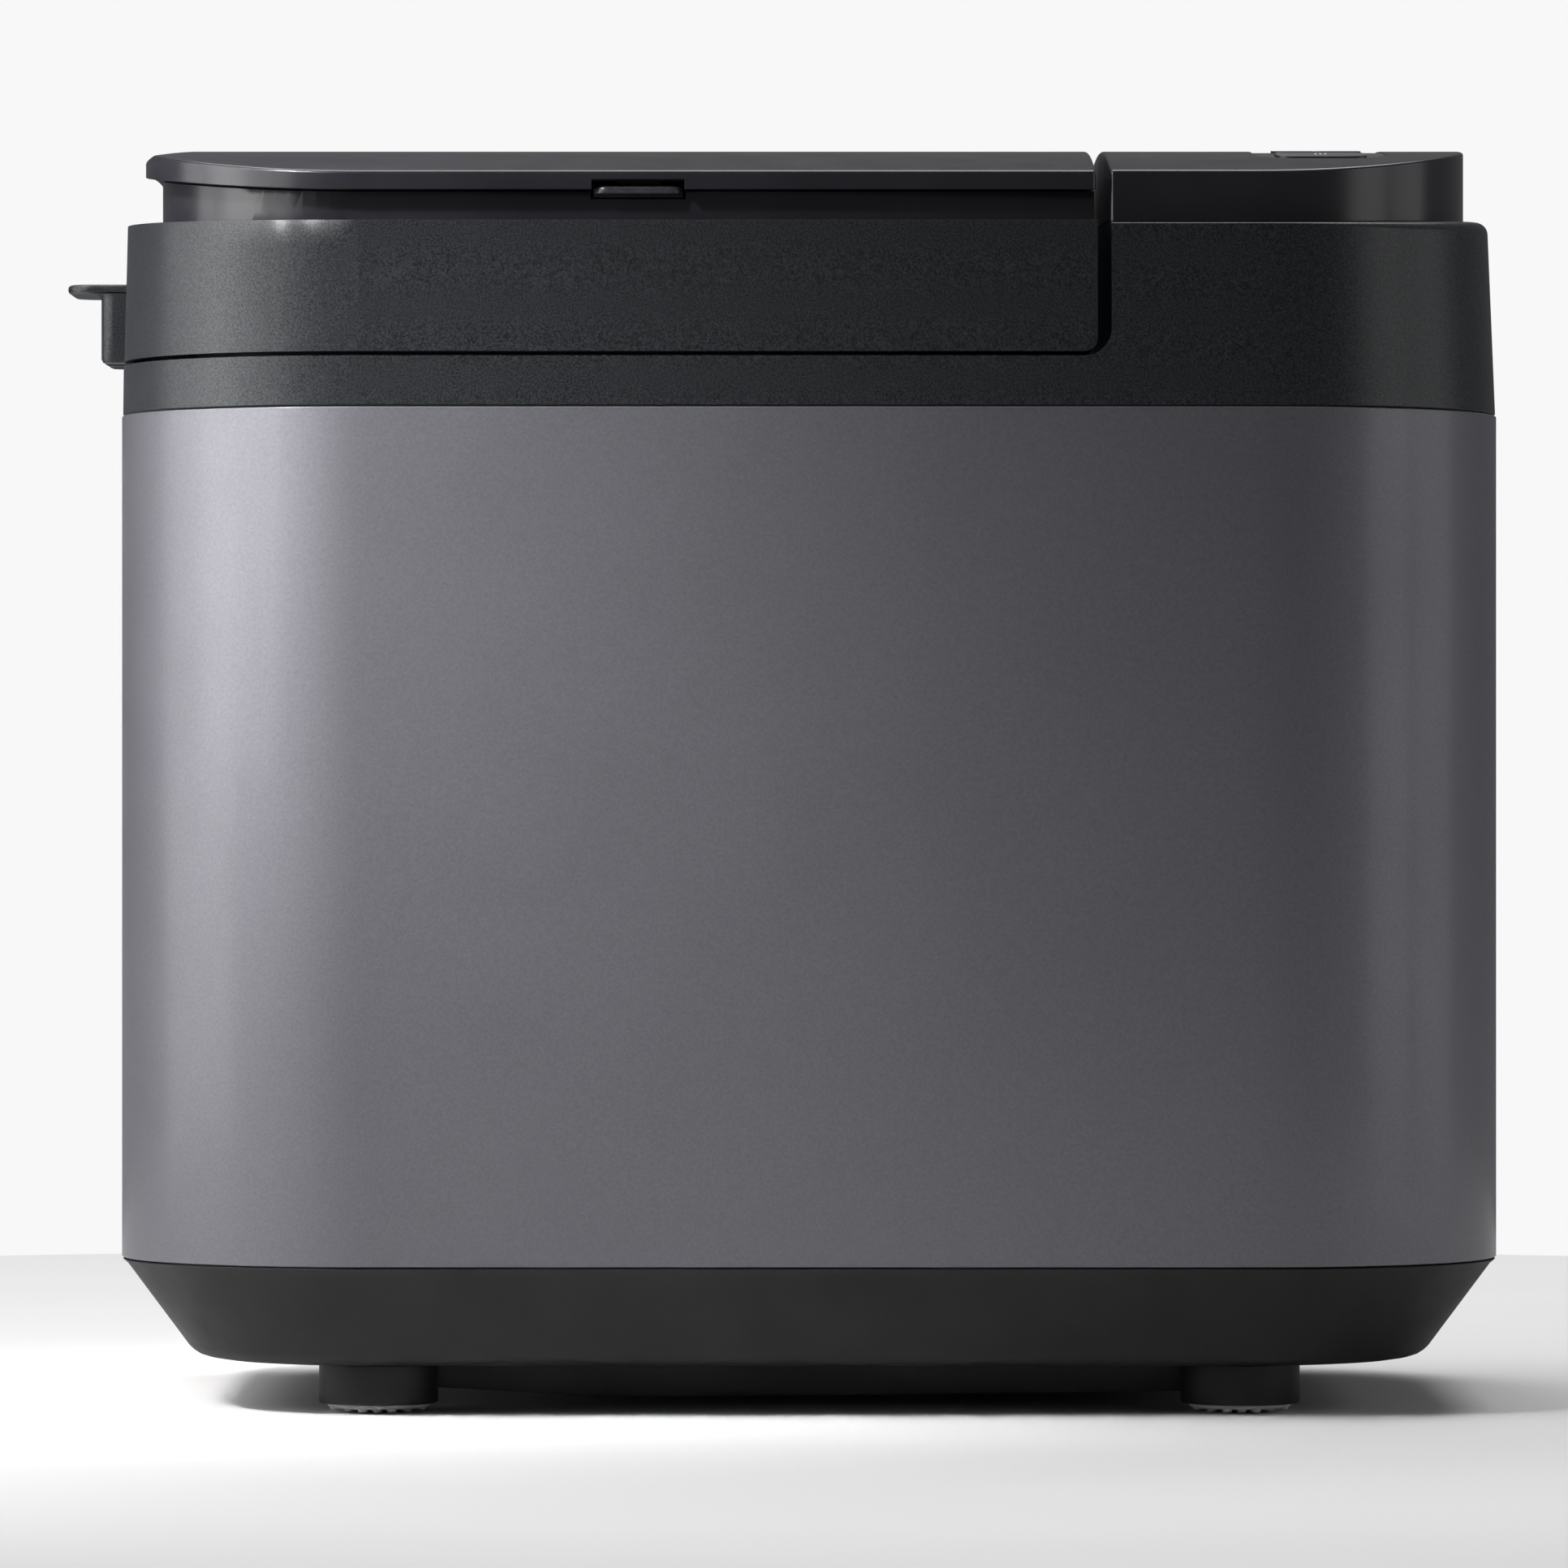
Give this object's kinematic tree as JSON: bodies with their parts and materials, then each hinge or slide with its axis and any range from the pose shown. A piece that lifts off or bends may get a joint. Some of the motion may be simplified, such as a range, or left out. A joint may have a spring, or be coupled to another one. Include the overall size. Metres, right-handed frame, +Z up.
{
  "type": "bread machine",
  "caption": "Countertop bread machine: oven and pan under a hinged lid with a crowned ingredient dispenser, control panel at the front, metal-wrapped body on rubber feet.",
  "frame": {"origin": "on the ground, under the middle of the machine's bounding box", "axes": "+Z up; +X towards the control panel, which is the user's side; +Y to the user's right, where the dispenser lid is hinged"},
  "size_m": [0.408, 0.252, 0.358],
  "materials": {
    "wrap_steel": "satin, faintly brushed, dark metallic",
    "base_plastic": "fine moulded grain",
    "cover_plastic": "fine moulded grain",
    "frame_plastic": "satin with a fine metallic fleck",
    "gloss_black": "polished",
    "strip_plastic": "satin gloss",
    "window_glass": "clear",
    "lcd_face": "grey-green display",
    "button_plastic": "satin gloss",
    "start_plastic": "satin gloss",
    "board_laminate": "solder mask",
    "pad_rubber": "matte",
    "bush_rubber": "matte",
    "zinc_steel": "zinc plated",
    "oven_steel": "aluminised sheet",
    "heater_alloy": "dark oxidised sheath",
    "sensor_brass": "plain",
    "cast_aluminium": "as cast",
    "shaft_steel": "ground",
    "coupler_steel": "sintered",
    "pulley_plastic": "glass filled",
    "pinion_brass": "turned",
    "belt_rubber": "matte",
    "motor_steel": "lamination stack and end bells",
    "fan_plastic": "plain",
    "pan_coating": "fluororesin non-stick with a fine fleck",
    "bush_bronze": "sintered",
    "handle_steel": "drawn wire",
    "liner_steel": "aluminised sheet",
    "gasket_silicone": "silicone",
    "seal_silicone": "silicone",
    "tray_plastic": "satin",
    "flap_plastic": "satin",
    "solenoid_coil": "wound and taped",
    "catch_plastic": "satin gloss"
  },
  "bodies": {
    "housing": {"outer_wrap": "wrap_steel", "base_shell": "base_plastic", "bottom_cover": "cover_plastic", "foot_pads": "pad_rubber", "base_screws": "zinc_steel", "cord_inlet": "bush_rubber", "top_frame": "frame_plastic", "panel_block": "gloss_black", "panel_strip": "strip_plastic", "lcd_window": "window_glass", "lcd_module": "lcd_face", "control_board": "board_laminate", "chassis_plate": "zinc_steel", "oven_chamber": "oven_steel", "heat_shield": "zinc_steel", "heating_element": "heater_alloy", "temperature_sensor": "sensor_brass", "pan_seat": "cast_aluminium", "bearing_housing": "cast_aluminium", "drive_belt": "belt_rubber", "motor": "motor_steel", "power_board": "board_laminate", "hinge_brackets": "zinc_steel", "lid_hinge_pins": "shaft_steel"},
    "lid": {"lid_shell": "frame_plastic", "rear_tab": "frame_plastic", "lid_liner": "liner_steel", "lid_gasket": "gasket_silicone", "dispenser_housing": "gloss_black", "dispenser_hinge_pins": "shaft_steel", "catch_spring": "zinc_steel", "nut_tray": "tray_plastic", "yeast_cup": "tray_plastic", "lid_solenoids": "solenoid_coil"},
    "dispenser_cover": {"dispenser_lid": "gloss_black", "dispenser_seals": "seal_silicone"},
    "catch": {"catch_slider": "catch_plastic"},
    "nut_trapdoor": {"nut_flap": "flap_plastic"},
    "nut_actuator": {"nut_plunger": "shaft_steel"},
    "yeast_gate": {"yeast_shutter": "flap_plastic"},
    "pan": {"bread_pan": "pan_coating", "pan_base": "cast_aluminium", "pan_bearing": "bush_bronze"},
    "bail": {"pan_handle": "handle_steel"},
    "blade": {"kneading_blade": "pan_coating", "pan_shaft": "shaft_steel", "pan_coupler": "coupler_steel"},
    "drive": {"drive_shaft": "shaft_steel", "drive_coupler": "coupler_steel", "large_pulley": "pulley_plastic"},
    "rotor": {"motor_shaft": "shaft_steel", "small_pulley": "pinion_brass", "motor_fan": "fan_plastic"},
    "menu_key": {"button_menu": "button_plastic"},
    "crust_key": {"button_crust": "button_plastic"},
    "timer_up_key": {"button_timer_up": "button_plastic"},
    "timer_down_key": {"button_timer_down": "button_plastic"},
    "start_key": {"button_start": "start_plastic"},
    "stop_key": {"button_stop": "start_plastic"}
  },
  "joints": [
    {"name": "lid_hinge", "type": "hinge", "parent": "housing", "child": "lid", "pos_m": [-0.188, 0, 0.303], "axis": [0, -1, 0], "range_deg": [0, 85]},
    {"name": "dispenser_lid_hinge", "type": "hinge", "parent": "lid", "child": "dispenser_cover", "pos_m": [-0.045, 0.1135, 0.343], "axis": [-1, 0, 0], "range_deg": [0, 80]},
    {"name": "catch_slide", "type": "slide", "parent": "lid", "child": "catch", "axis": [0, 1, 0], "range_m": [0, 0.0025], "stiffness_N_per_m": 400, "deforming": ["catch_spring"]},
    {"name": "nut_flap_hinge", "type": "hinge", "parent": "lid", "child": "nut_trapdoor", "pos_m": [-0.017, 0, 0.29], "axis": [0, 1, 0], "range_deg": [0, 75]},
    {"name": "nut_plunger_slide", "type": "slide", "parent": "lid", "child": "nut_actuator", "axis": [0, -1, 0], "range_m": [0, 0.006]},
    {"name": "yeast_shutter_slide", "type": "slide", "parent": "lid", "child": "yeast_gate", "axis": [0, 1, 0], "range_m": [0, 0.016], "stiffness_N_per_m": 60},
    {"name": "pan_lift", "type": "slide", "parent": "housing", "child": "pan", "axis": [0, 0, 1], "range_m": [0, 0.012]},
    {"name": "pan_handle_swing", "type": "hinge", "parent": "pan", "child": "bail", "pos_m": [-0.045, 0, 0.24], "axis": [-1, 0, 0], "range_deg": [0, 30]},
    {"name": "drive_spin", "type": "hinge", "parent": "housing", "child": "drive", "pos_m": [-0.045, 0, 0.05], "axis": [0, 0, 1], "continuous": true},
    {"name": "blade_spin", "type": "hinge", "parent": "pan", "child": "blade", "pos_m": [-0.045, 0, 0.12], "axis": [0, 0, 1], "continuous": true},
    {"name": "motor_spin", "type": "hinge", "parent": "housing", "child": "rotor", "pos_m": [0.115, 0, 0.05], "axis": [0, 0, 1], "continuous": true},
    {"name": "press_menu", "type": "slide", "parent": "housing", "child": "menu_key", "axis": [0, 0, -1], "range_m": [0, 0.0008], "stiffness_N_per_m": 1200},
    {"name": "press_crust", "type": "slide", "parent": "housing", "child": "crust_key", "axis": [0, 0, -1], "range_m": [0, 0.0008], "stiffness_N_per_m": 1200},
    {"name": "press_timer_up", "type": "slide", "parent": "housing", "child": "timer_up_key", "axis": [0, 0, -1], "range_m": [0, 0.0008], "stiffness_N_per_m": 1200},
    {"name": "press_timer_down", "type": "slide", "parent": "housing", "child": "timer_down_key", "axis": [0, 0, -1], "range_m": [0, 0.0008], "stiffness_N_per_m": 1200},
    {"name": "press_start", "type": "slide", "parent": "housing", "child": "start_key", "axis": [0, 0, -1], "range_m": [0, 0.0008], "stiffness_N_per_m": 1200},
    {"name": "press_stop", "type": "slide", "parent": "housing", "child": "stop_key", "axis": [0, 0, -1], "range_m": [0, 0.0008], "stiffness_N_per_m": 1200}
  ],
  "couplings": [
    {"joint": "blade_spin", "follows": "drive_spin", "ratio": 1},
    {"joint": "motor_spin", "follows": "drive_spin", "ratio": 6.0625},
    {"joint": "nut_plunger_slide", "follows": "nut_flap_hinge", "m_per_rad": 0.00458}
  ]
}
